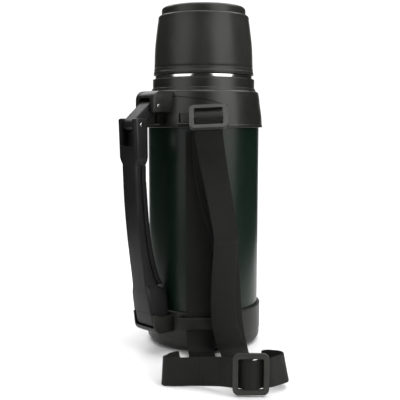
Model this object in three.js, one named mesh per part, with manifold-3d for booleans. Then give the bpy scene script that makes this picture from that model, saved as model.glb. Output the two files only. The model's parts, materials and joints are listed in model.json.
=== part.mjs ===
// Vacuum flask of the 2.2 litre class: a double-walled steel bottle with a moulded base and collar,
// a lift-up carrying handle on a link, a screw-on cup over a pour-through stopper, and a webbing
// shoulder strap with two sliders.
//
// Millimetres, +Z up. The origin is the centre of the base, on the surface the flask stands on.
// The handle is on the -X side. The strap's lug faces the direction (-1, -1), called the front here.

import * as THREE from 'three';
import { mergeVertices } from 'three/addons/utils/BufferGeometryUtils.js';
import Module from 'manifold-3d';

const wasm = await Module();
wasm.setup();

// ---------------------------------------------------------------- driving dimensions

const GAP = 0.3;                 // between pieces that touch on the real flask
const FACETS = 32;               // round the large pieces, so that they nest facet to facet
const SMALL_FACETS = 16;         // round the valve, the pins and the screws

const BODY_R = 59.4;             // green outer shell
const SHELL_WALL = 1.2;
const SHELL_BOTTOM_Z = 8;
const SHOULDER_Z = 243;          // where the shell starts to close in
const SHOULDER_RISE = 24;
const NECK_R = 34;
const NECK_TOP_Z = 288;

const LINER_R = 54;
const LINER_WALL = 1;
const LINER_NECK_R = 32.4;
const LINER_BOTTOM_Z = 14;

const BASE_R = 62.5;
const BASE_TOP_Z = 43;
const PAD_R = 51;

const COLLAR_R = 62.8;
const COLLAR_BOTTOM_Z = 233;
const COLLAR_TOP_Z = 283.4;
const SLEEVE_R = 46;
const SLEEVE_TOP_Z = 300;
const THREAD_DEPTH = 0.25;

const CUP_BOTTOM_Z = 287.3;
const CUP_WALL = 1.8;
const CUP_LINER_WALL = 1.2;
const DISC_R = 44.3;
const TOTAL_HEIGHT = 357.5;

const PLUG_R = 28.7;
const PLUG_BOTTOM_Z = 256;
const STOPPER_TOP_Z = 303;
const CHANNEL_R = 7;
const BUTTON_R = 12;
const BUTTON_TOP_Z = 306;

const HOOD_HALF = 14;            // half the width of the bracket that carries the link
const HOOD_FRONT = 81;           // distance of its front from the flask's axis
const SLOT_HALF = 8.2;
const LINK_HALF = 7.75;
const LINK_THICK = 12.4;
const UPPER_PIN = [77, 254.5];   // distance from the axis, height
const LOWER_PIN = [99.5, 236];
const PIN_R = 1.8;

const HEAD_HALF = 14;            // handle widths
const GRIP_HALF = 10.5;
const FOOT_HALF = 13.5;
const CRADLE_HALF = 16.6;

const WEB_WIDTH = 27;
const WEB_THICK = 1.3;
const STRAP_A = -4.7;            // the strap's centre, to the right as seen from the front
const BRIDGE_HALF = 21;          // half the width of the bridge that the strap passes under
const LUG_A = -2;                // the centre of the strap's lug
const LUG_HALF = 23;             // half the width of the lug's window
const SLIDER = { width: 37.6, height: 32, rail: 4.8, middle: 3.2, thick: 3.5, corner: 5.5 };

// ---------------------------------------------------------------- materials

const finish = (color, roughness, metalness = 0) =>
  new THREE.MeshStandardMaterial({ color, roughness, metalness });

const material = {
  green: finish(0x15301f, 0.32, 0.35),
  steel: finish(0xc9c9c6, 0.25, 1),
  brushed: finish(0xb4b4b0, 0.4, 1),
  grey: finish(0x4c4e49, 0.45),
  cup: finish(0x565852, 0.42),
  handle: finish(0x3a3a3b, 0.5),
  grip: finish(0x262627, 0.8),
  liner: finish(0x2f302e, 0.5),
  white: finish(0xd8d6cf, 0.5),
  rubber: finish(0x1b1b1b, 0.85),
  webbing: finish(0x232320, 0.9),
  slider: finish(0x5a5a54, 0.5),
  foam: finish(0xe6e3da, 0.95),
};

// ---------------------------------------------------------------- solids

const flask = new THREE.Group();
flask.name = 'vacuum_flask';

function add(name, geometry, look) {
  const mesh = new THREE.Mesh(geometry, look);
  mesh.name = name;
  flask.add(mesh);
}

// Six times the volume that the triangles enclose, positive when they face out.
function signedVolume(position, index) {
  const [a, b, c] = [new THREE.Vector3(), new THREE.Vector3(), new THREE.Vector3()];
  let sum = 0;
  for (let i = 0; i < index.length; i += 3) {
    [a, b, c].forEach((v, k) => v.fromBufferAttribute(position, index[i + k]));
    sum += a.dot(b.cross(c));
  }
  return sum;
}

// A closed body with shared vertices, no collapsed triangles and its faces pointing out.
function closed(geometry) {
  geometry.deleteAttribute('normal');
  geometry.deleteAttribute('uv');
  const merged = mergeVertices(geometry);
  let index = [];
  for (let i = 0; i < merged.index.count; i += 3) {
    const [a, b, c] = [0, 1, 2].map((k) => merged.index.getX(i + k));
    if (a !== b && b !== c && c !== a) index.push(a, b, c);
  }
  if (signedVolume(merged.attributes.position, index) < 0) index = index.reverse();
  merged.setIndex(index);
  return merged;
}

const toSolid = (geometry) => new wasm.Manifold(new wasm.Mesh({
  numProp: 3,
  vertProperties: new Float32Array(geometry.attributes.position.array),
  triVerts: new Uint32Array(geometry.index.array),
}));

function fromSolid(solid) {
  const mesh = solid.getMesh();
  const geometry = new THREE.BufferGeometry();
  geometry.setAttribute('position', new THREE.BufferAttribute(new Float32Array(mesh.vertProperties), 3));
  geometry.setIndex([...mesh.triVerts]);
  return geometry;
}

const join = (first, ...rest) => fromSolid(rest.reduce((s, g) => s.add(toSolid(g)), toSolid(first)));
const cut = (first, ...rest) => fromSolid(rest.reduce((s, g) => s.subtract(toSolid(g)), toSolid(first)));

// Points of an arc in the (r, z) plane, from one angle to another in degrees.
function arc(r, z, radius, from, to, steps) {
  return Array.from({ length: steps + 1 }, (_, i) => {
    const angle = THREE.MathUtils.degToRad(from + ((to - from) * i) / steps);
    return [r + radius * Math.cos(angle), z + radius * Math.sin(angle)];
  });
}

// A body of revolution about +Z from an outline of [r, z] points.
function revolve(outline, facets = FACETS) {
  const points = outline.map(([r, z]) => new THREE.Vector2(r, z));
  const onAxis = outline[0][0] === 0 && outline.at(-1)[0] === 0;
  if (!onAxis) points.push(points[0].clone());
  return closed(new THREE.LatheGeometry(points, facets).rotateX(Math.PI / 2));
}

const ring = (inner, outer, bottom, top, facets = FACETS) =>
  revolve([[inner, bottom], [outer, bottom], [outer, top], [inner, top]], facets);

const disc = (radius, bottom, top, facets = FACETS) =>
  revolve([[0, bottom], [radius, bottom], [radius, top], [0, top]], facets);

function block(x0, x1, y0, y1, z0, z1) {
  const box = new THREE.BoxGeometry(x1 - x0, y1 - y0, z1 - z0);
  return closed(box.translate((x0 + x1) / 2, (y0 + y1) / 2, (z0 + z1) / 2));
}

// A rod along Y, at a distance from the axis on the handle's side.
const pinAcross = (radius, [distance, height], half) =>
  closed(new THREE.CylinderGeometry(radius, radius, 2 * half, SMALL_FACETS)
    .translate(-distance, 0, height));

// A plate between y = -half and y = half, from an outline of [distance from the axis, height].
function plate(outline, half) {
  const shape = new THREE.Shape(outline.map(([r, z]) => new THREE.Vector2(-r, z)));
  const slab = new THREE.ExtrudeGeometry(shape, { depth: 2 * half, bevelEnabled: false });
  return closed(slab.rotateX(Math.PI / 2).translate(0, half, 0));
}

// An upright bar through stations {z, inner, outer, half}, with chamfered corners.
function bar(stations) {
  const positions = [];
  for (const { z, inner, outer, half } of stations) {
    const c = Math.min(2.4, (outer - inner) / 4);
    const section = [
      [inner + c, half], [inner, half - c], [inner, c - half], [inner + c, -half],
      [outer - c, -half], [outer, c - half], [outer, half - c], [outer - c, half],
    ];
    section.forEach(([r, y]) => positions.push(-r, y, z));
  }
  return stitched(positions, 8, stations.length);
}

// Closes a tube of equal loops, listed one after another, with a fan at each end. Opposite
// faces are split along matching diagonals, so a twisted web keeps its thickness.
function stitched(positions, loop, count) {
  const index = [];
  for (let s = 0; s + 1 < count; s += 1) {
    for (let k = 0; k < loop; k += 1) {
      const [a, b] = [s * loop + k, s * loop + ((k + 1) % loop)];
      if (k < loop / 2) index.push(a, b, b + loop, a, b + loop, a + loop);
      else index.push(a, b, a + loop, b, b + loop, a + loop);
    }
  }
  const last = (count - 1) * loop;
  for (let k = 1; k + 1 < loop; k += 1) index.push(0, k + 1, k, last, last + k, last + k + 1);
  const geometry = new THREE.BufferGeometry();
  geometry.setAttribute('position', new THREE.Float32BufferAttribute(positions, 3));
  geometry.setIndex(index);
  return closed(geometry);
}

// A direction or place given as seen from the front: a to the right, b towards the viewer, z up.
const fromFront = (a, b, z) => new THREE.Vector3((a - b) / Math.SQRT2, -(a + b) / Math.SQRT2, z);

// A flat ribbon of webbing through stations [a, b, z, width direction as a, b, z].
function ribbon(stations, stepsPerSpan) {
  const route = new THREE.CatmullRomCurve3(stations.map(([a, b, z]) => fromFront(a, b, z)),
    false, 'centripetal');
  const spans = stations.length - 1;
  const positions = [];
  for (let i = 0; i <= spans * stepsPerSpan; i += 1) {
    const t = i / (spans * stepsPerSpan);
    const span = Math.min(Math.floor(t * spans), spans - 1);
    const [from, to] = [stations[span], stations[span + 1]].map((s) => fromFront(s[3], s[4], s[5]));
    const along = route.getTangent(t);
    const across = from.lerp(to, t * spans - span).projectOnPlane(along)
      .setLength(WEB_WIDTH / 2);
    const through = along.cross(across).setLength(WEB_THICK / 2);
    const centre = route.getPoint(t);
    for (const [u, v] of [[1, 1], [-1, 1], [-1, -1], [1, -1]]) {
      positions.push(...centre.clone().addScaledVector(across, u).addScaledVector(through, v));
    }
  }
  return stitched(positions, 4, spans * stepsPerSpan + 1);
}

// ---------------------------------------------------------------- vacuum bottle

// The shoulder and neck of a wall that starts at the given radius and closes to the neck's.
function shoulder(radius, neck, z, rise, steps = 6) {
  return arc(0, 0, 1, 0, 90, steps)
    .map(([c, s]) => [neck + (radius - neck) * c, z + rise * s]);
}

add('outer_shell', revolve([
  [BODY_R, SHELL_BOTTOM_Z],
  ...shoulder(BODY_R, NECK_R, SHOULDER_Z, SHOULDER_RISE),
  [NECK_R, NECK_TOP_Z],
  [NECK_R - SHELL_WALL, NECK_TOP_Z],
  ...shoulder(BODY_R - SHELL_WALL, NECK_R - SHELL_WALL, SHOULDER_Z, SHOULDER_RISE - SHELL_WALL)
    .reverse(),
  [BODY_R - SHELL_WALL, SHELL_BOTTOM_Z],
]), material.green);

const LIP_Z = NECK_TOP_Z + GAP;
const MOUTH_R = LINER_NECK_R - LINER_WALL;
add('inner_liner', revolve([
  [0, LINER_BOTTOM_Z],
  [LINER_R - 8, LINER_BOTTOM_Z],
  ...arc(LINER_R - 8, LINER_BOTTOM_Z + 8, 8, -60, 0, 2),
  ...shoulder(LINER_R, LINER_NECK_R, SHOULDER_Z - 4, SHOULDER_RISE - 3),
  [LINER_NECK_R, LIP_Z],
  [NECK_R, LIP_Z],
  [NECK_R, LIP_Z + LINER_WALL],
  [MOUTH_R, LIP_Z + LINER_WALL],
  ...shoulder(LINER_R - LINER_WALL, MOUTH_R, SHOULDER_Z - 4, SHOULDER_RISE - 4).reverse(),
  ...arc(LINER_R - 8, LINER_BOTTOM_Z + 8, 7, 0, -60, 2),
  [LINER_R - 8, LINER_BOTTOM_Z + LINER_WALL],
  [0, LINER_BOTTOM_Z + LINER_WALL],
]), material.brushed);

add('shell_bottom_plate', disc(BODY_R - SHELL_WALL - GAP, SHELL_BOTTOM_Z, SHELL_BOTTOM_Z + 1.2),
  material.brushed);
add('vacuum_seal_cap', disc(9, SHELL_BOTTOM_Z - 1.5, SHELL_BOTTOM_Z - GAP, SMALL_FACETS),
  material.steel);

// ---------------------------------------------------------------- base

const baseBody = revolve([
  [0, 2.6], [PAD_R + GAP, 2.6], [PAD_R + GAP, 0.8], [BASE_R - 8, 0.8],
  ...arc(BASE_R - 8.5, 8.8, 8, -75, 0, 5),
  [BASE_R - 0.5, 14.6], [BASE_R, 15.2],
  ...arc(BASE_R - 1.4, BASE_TOP_Z - 1.4, 1.4, 0, 90, 3),
  [BODY_R + GAP, BASE_TOP_Z], [BODY_R + GAP, 6], [0, 6],
]);

const CRADLE_TOP_Z = 48;
const CRADLE_OUTER = 88.6;
const cradle = cut(
  plate([[58, 26], [78, 26], [84, 29], [86.8, 35], [CRADLE_OUTER, CRADLE_TOP_Z], [85, CRADLE_TOP_Z],
    [77, 44], [62, 44], [58, 43]], CRADLE_HALF),
  plate([[63.2, 32], [66, 29.2], [77.6, 29.2], [82.6, 31], [84.6, 33.2], [95, 33.2], [95, 50],
    [63.2, 50]], 14.4),
);

const [BRIDGE_BOTTOM_Z, BRIDGE_TOP_Z] = [27, 39.5];
const turnedToFront = (geometry) => geometry.rotateZ(-Math.PI / 4);
const bridge = turnedToFront(cut(
  block(STRAP_A - BRIDGE_HALF, STRAP_A + BRIDGE_HALF, -68.6, -56, BRIDGE_BOTTOM_Z, BRIDGE_TOP_Z),
  block(STRAP_A - BRIDGE_HALF + 3.6, STRAP_A + BRIDGE_HALF - 3.6, -65.9, -50, 20, 50),
));
const baseHollow = revolve([[0, 6], [BODY_R + GAP, 6], [BODY_R + GAP, 60], [0, 60]]);
add('base_cup', cut(join(baseBody, cradle, bridge), baseHollow), material.grey);
add('base_pad', disc(PAD_R, 0, 2.3), material.rubber);

// ---------------------------------------------------------------- collar

const collarBody = revolve([
  [BODY_R + GAP, COLLAR_BOTTOM_Z], [COLLAR_R - 0.2, COLLAR_BOTTOM_Z],
  [COLLAR_R + 0.4, COLLAR_BOTTOM_Z + 0.6], [COLLAR_R + 0.4, COLLAR_BOTTOM_Z + 2.6],
  [COLLAR_R, COLLAR_BOTTOM_Z + 3.2],
  [62.4, 243], [61.5, 250], [60.5, 256], [59.9, 262], [59, 266.5],
  ...arc(55.6, 267.4, 3, 20, 90, 3),
  [54.9, 274], [54.3, 274.6], [54.3, COLLAR_TOP_Z], [SLEEVE_R + 0.9, COLLAR_TOP_Z],
  [SLEEVE_R + 0.9, 280.6], [51.8, 280.6], [51.8, 269], [55.6, 266],
  [57, 261], [57.6, 256], [58.9, 250], [BODY_R + GAP, 243],
]);

const hood = cut(
  plate([[59.6, 248.3], [HOOD_FRONT, 248.3], [HOOD_FRONT, 257],
    ...arc(HOOD_FRONT - 9, 260.4, 9, 0, 90, 5), [62, 269.4], [54.5, 269.4], [58, 258]], HOOD_HALF),
  plate([[64.5, 240], [90, 240], [90, 261], [78, 263], [68, 262.4], [64.5, 257]], SLOT_HALF),
);

// The strap's bar is the collar's bottom edge, bulged out, with a window above it.
const [WINDOW_BOTTOM_Z, WINDOW_TOP_Z] = [237.6, 247.4];
const lugBar = turnedToFront(block(LUG_A - LUG_HALF - 2, LUG_A + LUG_HALF + 2, -65.2, -56,
  COLLAR_BOTTOM_Z, WINDOW_BOTTOM_Z));
const lugWindow = turnedToFront(block(LUG_A - LUG_HALF, LUG_A + LUG_HALF, -75, -50,
  WINDOW_BOTTOM_Z, WINDOW_TOP_Z));
const lugSlot = turnedToFront(block(LUG_A - LUG_HALF + 2, LUG_A + LUG_HALF - 2, -62.9, -50,
  COLLAR_BOTTOM_Z - 1, WINDOW_BOTTOM_Z + 1));
const collarBore = revolve([[0, 200], [BODY_R + GAP, 200], [BODY_R + GAP, 243], [0, 243]]);
const hoodPocket = block(-70, -50, -9.5, 9.5, 237.5, 247.8);
const [upperPinHole, lowerPinHole] = [UPPER_PIN, LOWER_PIN]
  .map((place) => pinAcross(PIN_R + GAP, place, 20));
add('collar', cut(join(collarBody, hood, lugBar), collarBore, lugWindow, lugSlot, hoodPocket,
  upperPinHole), material.grey);

// ---------------------------------------------------------------- neck

// The side of a threaded wall: ridges of a given depth at each height.
const ridges = (radius, depth, heights) => heights.flatMap((z) => [
  [radius, z - 1.1], [radius + depth, z - 0.5], [radius + depth, z + 0.5], [radius, z + 1.1],
]);

add('neck_sleeve', revolve([
  [NECK_R + 2.2, 272], [SLEEVE_R, 272],
  ...ridges(SLEEVE_R, THREAD_DEPTH, [289.5, 293.5, 297.5]),
  [SLEEVE_R, SLEEVE_TOP_Z], [39, SLEEVE_TOP_Z], [39, 276.5], [NECK_R + 2.2, 276.5],
]), material.liner);
add('neck_seal', ring(NECK_R + GAP, NECK_R + 1.9, 270, 275), material.rubber);
add('trim_ring', revolve([
  [SLEEVE_R + 1.2, COLLAR_TOP_Z + GAP], [51.9, COLLAR_TOP_Z + GAP], [51.9, 286.5], [51.4, 287],
  [SLEEVE_R + 1.2, 287],
]), material.steel);

// ---------------------------------------------------------------- cup

const CUP_SIDE = [
  [52.2, 302], [51.65, 315], [51.1, 321], [50.4, 327], [49.6, 333], [48.6, 340], [47.8, 345],
];
const inset = (outline, depth) => outline.map(([r, z]) => [r - depth, z]);
const SHOULDER_TOP_Z = 348.9;
const CEILING_Z = SHOULDER_TOP_Z - CUP_WALL;
const LAND_TOP_Z = SLEEVE_TOP_Z + 0.1;

add('cup_shell', revolve([
  [52, CUP_BOTTOM_Z], [53, CUP_BOTTOM_Z + 0.4], [53.3, 288.6], [53.3, 290], [52.9, 290.6],
  [52.8, 294.4], [52.2, 295], [52.5, 295.8], ...CUP_SIDE,
  ...arc(45.4, 346.6, 2.3, 0, 90, 3), [0, SHOULDER_TOP_Z], [0, CEILING_Z],
  [45, CEILING_Z], ...inset(CUP_SIDE, CUP_WALL).reverse().slice(1), [50.6, CUP_BOTTOM_Z],
]), material.cup);
add('cup_top_disc', revolve([
  [DISC_R - 2, SHOULDER_TOP_Z + GAP], [DISC_R, SHOULDER_TOP_Z + GAP],
  ...arc(DISC_R - 3.4, TOTAL_HEIGHT - 3.4, 3.4, 0, 90, 4),
  [0, TOTAL_HEIGHT], [0, TOTAL_HEIGHT - 2], [DISC_R - 3.4, TOTAL_HEIGHT - 2],
  [DISC_R - 2, TOTAL_HEIGHT - 3.6],
]), material.cup);

const linerOuter = inset(CUP_SIDE.slice(0, -1), CUP_WALL + GAP);
const linerInner = inset(CUP_SIDE.slice(0, -1), CUP_WALL + GAP + CUP_LINER_WALL);
add('cup_liner', revolve([
  [SLEEVE_R + 0.6, CUP_BOTTOM_Z + 1], [50.2, CUP_BOTTOM_Z + 1], ...linerOuter,
  [44.6, CEILING_Z - GAP], [0, CEILING_Z - GAP], [0, CEILING_Z - GAP - CUP_LINER_WALL],
  [43.8, CEILING_Z - GAP - CUP_LINER_WALL], ...linerInner.reverse(),
  [49.1, LAND_TOP_Z], [SLEEVE_R + 0.6, LAND_TOP_Z],
]), material.liner);
add('cup_gasket', ring(42, 48.6, LAND_TOP_Z + GAP, LAND_TOP_Z + 2.2), material.rubber);

// ---------------------------------------------------------------- stopper

const FLANGE_Z = LIP_Z + LINER_WALL + 0.9;
const PLUG_TOP_Z = 295.7;
add('stopper_body', revolve([
  [CHANNEL_R, PLUG_BOTTOM_Z], [PLUG_R, PLUG_BOTTOM_Z], [PLUG_R, FLANGE_Z], [35.5, FLANGE_Z],
  [35.5, PLUG_TOP_Z], [26, PLUG_TOP_Z], [26, PLUG_BOTTOM_Z + 3], [9.5, PLUG_BOTTOM_Z + 3],
  [9.5, PLUG_TOP_Z], [CHANNEL_R, PLUG_TOP_Z],
]), material.liner);
add('stopper_foam', ring(9.5 + GAP, 26 - GAP, PLUG_BOTTOM_Z + 3 + GAP, PLUG_TOP_Z - GAP),
  material.foam);
add('stopper_gasket', ring(PLUG_R + GAP, MOUTH_R - 0.4, 283, 288), material.rubber);

const CAP_BOTTOM_Z = PLUG_TOP_Z + GAP;
const SHELF_Z = CAP_BOTTOM_Z + 1.5;
add('stopper_cap', revolve([
  [CHANNEL_R + 0.5, CAP_BOTTOM_Z], [36, CAP_BOTTOM_Z], [36, 279],
  ...ridges(38.4, THREAD_DEPTH, [282, 286, 290]),
  ...arc(37.4, STOPPER_TOP_Z - 1, 1, 0, 90, 2), [BUTTON_R + 0.4, STOPPER_TOP_Z],
  [BUTTON_R + 0.4, SHELF_Z], [CHANNEL_R + 0.5, SHELF_Z],
]), material.liner);

const BUTTON_WALL_Z = 301.8;
const BUTTON_INNER_Z = 303.8;
add('pour_button', revolve([
  [BUTTON_R - 2.2, BUTTON_WALL_Z], [BUTTON_R, BUTTON_WALL_Z],
  ...arc(BUTTON_R - 1, BUTTON_TOP_Z - 1, 1, 0, 90, 2), [0, BUTTON_TOP_Z],
  [0, BUTTON_INNER_Z], [BUTTON_R - 2.2, BUTTON_INNER_Z],
], SMALL_FACETS), material.grey);
add('valve_stem', disc(2.5, 253.3, BUTTON_INNER_Z - GAP, SMALL_FACETS), material.white);
add('valve_disc', disc(12, 250.5, 253, SMALL_FACETS), material.white);
add('valve_seal', ring(8, 12, 253.3, PLUG_BOTTOM_Z - GAP, SMALL_FACETS), material.rubber);

// A coil spring as a tube on a helix.
function spring(radius, wire, bottom, top, turns, stepsPerTurn = 14) {
  class Helix extends THREE.Curve {
    getPoint(t) {
      const angle = 2 * Math.PI * turns * t;
      return new THREE.Vector3(radius * Math.cos(angle), radius * Math.sin(angle),
        bottom + (top - bottom) * t);
    }
  }
  const section = new THREE.Shape().absarc(0, 0, wire, 0, 2 * Math.PI);
  return closed(new THREE.ExtrudeGeometry(section,
    { steps: turns * stepsPerTurn, curveSegments: 3, extrudePath: new Helix() }));
}
add('button_spring', spring(8.4, 0.45, SHELF_Z + 0.8, BUTTON_INNER_Z - 0.8, 3), material.steel);

// ---------------------------------------------------------------- link and handle

const LINK_ANGLE = Math.atan2(UPPER_PIN[1] - LOWER_PIN[1], LOWER_PIN[0] - UPPER_PIN[0]);
const linkDegrees = THREE.MathUtils.radToDeg(LINK_ANGLE);
const linkOutline = [
  ...arc(...UPPER_PIN, LINK_THICK / 2, 90 - linkDegrees, 270 - linkDegrees, 6),
  ...arc(...LOWER_PIN, LINK_THICK / 2, 270 - linkDegrees, 450 - linkDegrees, 6),
];
add('link_arm', cut(plate(linkOutline, LINK_HALF), upperPinHole, lowerPinHole), material.handle);
add('link_pin_upper', pinAcross(PIN_R, UPPER_PIN, HOOD_HALF + 0.25), material.steel);
add('link_pin_lower', pinAcross(PIN_R, LOWER_PIN, HEAD_HALF + 0.25), material.steel);

// The side line of the whole handle: height, distance of the finger side, of the outer side.
const GRIP_LINE = [
  [182, 90.4, 104.4], [162, 89, 103.6], [133, 86, 101.2], [105, 81.6, 98], [79, 73, 94.6],
];
const GRIP_SPLIT = 6.4;          // depth of the soft insert, from the finger side
const HEAD_TOP_Z = 242;
const frameBar = bar([
  { z: 30.8, inner: 69, outer: 78, half: 12 },
  { z: 33.7, inner: 66.5, outer: 83, half: 13 },
  { z: 34.2, inner: 66.3, outer: 85.2, half: FOOT_HALF },
  { z: 38, inner: 65.6, outer: 86.8, half: FOOT_HALF },
  { z: 48, inner: 65, outer: 88.4, half: FOOT_HALF },
  { z: 49.5, inner: 64.8, outer: 90.2, half: FOOT_HALF },
  { z: 68, inner: 65.4, outer: 93, half: FOOT_HALF },
  { z: 71, inner: 67, outer: 93.5, half: FOOT_HALF - 1 },
  { z: 72, inner: 75.8, outer: 93.7, half: GRIP_HALF },
  ...GRIP_LINE.toReversed().map(([z, inner, outer]) =>
    ({ z, inner: inner + GRIP_SPLIT + GAP, outer, half: GRIP_HALF })),
  { z: 195.8, inner: 90.4 + GRIP_SPLIT + GAP, outer: 104.9, half: GRIP_HALF },
  { z: 196.2, inner: 90.6, outer: 104.9, half: GRIP_HALF },
  { z: 204, inner: 90.4, outer: 105.6, half: HEAD_HALF },
  { z: HEAD_TOP_Z - 1.2, inner: 90.4, outer: 106.8, half: HEAD_HALF },
  { z: HEAD_TOP_Z, inner: 91.2, outer: 106, half: HEAD_HALF - 0.8 },
]);
const gripBar = bar([
  { z: 73.4, inner: 69, outer: 75.9, half: GRIP_HALF },
  ...GRIP_LINE.toReversed().map(([z, inner]) =>
    ({ z, inner, outer: inner + GRIP_SPLIT, half: GRIP_HALF })),
  { z: 195.2, inner: 90.4, outer: 90.4 + GRIP_SPLIT, half: GRIP_HALF },
]);

// The two screws that hold the insert, driven from the finger side.
const SCREW_PLACES = [['handle_screw_upper', 90.2, 178], ['handle_screw_lower', 77.4, 92]];
const alongX = (geometry, [distance, height]) => geometry.rotateY(-Math.PI / 2)
  .translate(-distance, 0, height);
const screw = ([, distance, height]) => alongX(revolve([
  [0, 2], [3, 2], [3, 4], [1.6, 4], [1.6, 10.5], [0, 10.5],
], SMALL_FACETS), [distance, height]);
const screwHole = ([, distance, height]) => alongX(revolve([
  [0, -6], [3.4, -6], [3.4, 4.3], [1.95, 4.3], [1.95, 11], [0, 11],
], SMALL_FACETS), [distance, height]);
const screwHoles = SCREW_PLACES.map(screwHole);

const clevisSlot = block(-120, -80, -SLOT_HALF, SLOT_HALF, 215, 260);
add('handle_frame', cut(frameBar, clevisSlot, lowerPinHole, ...screwHoles), material.handle);
add('handle_grip', cut(gripBar, ...screwHoles), material.grip);
SCREW_PLACES.forEach((place) => add(place[0], screw(place), material.steel));

// ---------------------------------------------------------------- strap sliders

// A three-bar slider lying in the XY plane: the webbing runs along Y through its two windows.
function slider() {
  const { width, height, rail, middle, thick, corner } = SLIDER;
  const [w, h] = [width / 2, height / 2];
  const outline = new THREE.Shape();
  outline.absarc(w - corner, h - corner, corner, 0, Math.PI / 2);
  outline.absarc(corner - w, h - corner, corner, Math.PI / 2, Math.PI);
  outline.absarc(corner - w, corner - h, corner, Math.PI, 1.5 * Math.PI);
  outline.absarc(w - corner, corner - h, corner, 1.5 * Math.PI, 2 * Math.PI);
  for (const side of [-1, 1]) {
    const [y0, y1] = [side * middle / 2, side * (h - rail)];
    outline.holes.push(new THREE.Path([[rail - w, y0], [w - rail, y0], [w - rail, y1], [rail - w, y1]]
      .map(([x, y]) => new THREE.Vector2(x, y))));
  }
  return closed(new THREE.ExtrudeGeometry(outline,
    { depth: thick, bevelEnabled: false, curveSegments: 4 }).translate(0, 0, -thick / 2));
}

// Stands the slider's Y along "along" and its X along "across", both as seen from the front.
function placed(geometry, centre, across, along) {
  const [x, y] = [fromFront(...across).normalize(), fromFront(...along).normalize()];
  const z = x.clone().cross(y);
  const place = new THREE.Matrix4().makeBasis(x, y, z).setPosition(fromFront(...centre));
  return geometry.applyMatrix4(place);
}

const UPPER_SLIDER = [4.4, 79, 243.4];
const LOWER_SLIDER = [40.6, 180, 20.3];
const LEAN = Math.SQRT1_2;       // the upper slider leans back by 45 degrees
add('strap_slider_upper', placed(slider(), UPPER_SLIDER, [1, 0, 0.05], [0, -LEAN, LEAN]),
  material.slider);
add('strap_slider_lower', placed(slider(), LOWER_SLIDER, [0, 0, 1], [-1, 0, 0]), material.slider);

// ---------------------------------------------------------------- shoulder strap

// The webbing's centre line where it passes a slider, as [distance along, distance out]: behind one
// outer bar, over the middle bar and behind the other outer bar.
const PASSAGE = [[-15.5, -3.2], [-11, -3.1], [-2.4, 2.9], [2.4, 2.9], [11, -3.1], [15.5, -3.2]];
const throughUpper = PASSAGE.slice(0, -1).map(([along, out]) => {
  const [a, b, z] = UPPER_SLIDER;
  return [a, b + (out - along) * LEAN, z + (out + along) * LEAN, 1, 0, 0.05];
});
const throughLower = PASSAGE.map(([along, out]) => {
  const [a, b, z] = LOWER_SLIDER;
  return [a + along, b + out, z, 0, 0, 1];
});

const CLOSE = BODY_R + GAP + WEB_THICK / 2 + 0.2;   // webbing that lies against the shell
add('strap_body_run', ribbon([
  [STRAP_A, CLOSE, 229, -1, 0, 0],
  [STRAP_A, CLOSE, 150, -1, 0, 0],
  [STRAP_A, CLOSE + 0.4, 116, -1, 0, 0],
  [STRAP_A, CLOSE + 2.2, 103, -1, 0, 0],
  [STRAP_A, CLOSE + 2.4, 98, -1, 0, 0],
  [STRAP_A, CLOSE + 1.6, 84, -1, 0, 0],
  [STRAP_A, CLOSE + 1.2, 62, -1, 0, 0],
  [STRAP_A, 64.2, 43.5, -1, 0, 0],
  [STRAP_A, 64.3, 28, -1, 0, 0],
  [STRAP_A + 0.6, 65.4, 15, -1, 0.1, 0],
  [-2.6, 68.4, 5.6, -0.97, 0.2, 0],
  [-1.6, 76, 2.2, -0.97, 0.2, 0],
  [-3, 96, 1.5, -1, 0, 0],
  [-10, 117, 4.6, -1, 0, 0.25],
  [-17, 130, 10.5, -0.75, 0, 0.6],
  [-27, 141, 14.1, -0.2, 0, 1],
  [-35, 148.6, 14.1, 0.06, 0, 1],
  [-37.7, 152.2, 14.1, 0.06, 0, 1],
  [-34.8, 155.4, 14.1, 0.06, 0, 1],
  [-6, 157, 14.5, 0.02, 0, 1],
  [5, 160.5, 15.8, 0, 0, 1],
  [13, 165.5, 17.6, 0, 0, 1],
  [19.5, 172, 19.4, 0, 0, 1],
  ...throughLower,
  [64.5, 169.5, 19.8, -0.08, 0, 1],
  [73.4, 158, 19, -0.2, 0, 1],
], 4), material.webbing);

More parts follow.
